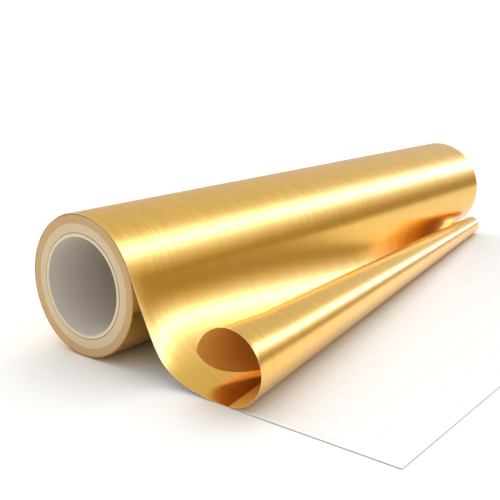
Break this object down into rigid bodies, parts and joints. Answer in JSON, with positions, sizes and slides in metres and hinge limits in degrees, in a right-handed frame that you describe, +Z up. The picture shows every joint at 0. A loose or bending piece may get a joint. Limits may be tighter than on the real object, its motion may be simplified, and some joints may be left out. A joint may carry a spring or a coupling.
{
  "type": "roll of sign vinyl",
  "caption": "Roll of metallised gold sign vinyl on a paperboard core, its web drawn off over a table, the film peeled from the liner and curled back.",
  "frame": {"origin": "centre of the core's bore, halfway along the roll", "axes": "+X along the core's axis, +Z up, the web leaves the roll on the -Y side"},
  "size_m": [0.61, 0.3259, 0.1119],
  "materials": {
    "gold_film": "satin",
    "release_liner": "satin",
    "white_board": "matte",
    "grey_board": "matte",
    "kraft_board": "matte",
    "tape": "satin"
  },
  "bodies": {
    "web": {"web_film": "gold_film", "web_liner": "release_liner"},
    "wound_roll": {"core_inner_ply": "white_board", "core_ply_1": "grey_board", "core_ply_2": "grey_board", "core_ply_3": "grey_board", "core_ply_4": "grey_board", "core_ply_5": "grey_board", "core_ply_6": "grey_board", "core_ply_7": "grey_board", "core_ply_8": "grey_board", "core_ply_9": "grey_board", "core_ply_10": "grey_board", "core_outer_ply": "kraft_board", "starter_tape": "tape", "wound_liner": "release_liner", "wound_film": "gold_film"},
    "pulled_web": {"liner_sheet": "release_liner"},
    "curl": {"film_curl_1": "gold_film", "film_curl_2": "gold_film", "film_curl_3": "gold_film", "film_curl_4": "gold_film", "film_curl_5": "gold_film", "film_curl_6": "gold_film", "film_curl_7": "gold_film", "film_curl_8": "gold_film"},
    "liner_flap": {"liner_end": "release_liner"}
  },
  "joints": [
    {"name": "roll_turn", "type": "hinge", "parent": "web", "child": "wound_roll", "pos_m": [0, 0, 0], "axis": [1, 0, 0], "range_deg": [0, 45]},
    {"name": "web_feed", "type": "slide", "parent": "web", "child": "pulled_web", "axis": [0, -1, 0], "range_m": [0, 0.0439]},
    {"name": "curl_lift", "type": "hinge", "parent": "pulled_web", "child": "curl", "pos_m": [-0.305, -0.143, -0.05462], "axis": [-0.9895, -0.1444, 0], "range_deg": [0, 7]},
    {"name": "liner_lift", "type": "hinge", "parent": "pulled_web", "child": "liner_flap", "pos_m": [0, -0.22917, -0.05498], "axis": [-1, 0, 0], "range_deg": [0, 60]}
  ],
  "couplings": [
    {"joint": "web_feed", "follows": "roll_turn", "m_per_rad": 0.0557}
  ]
}
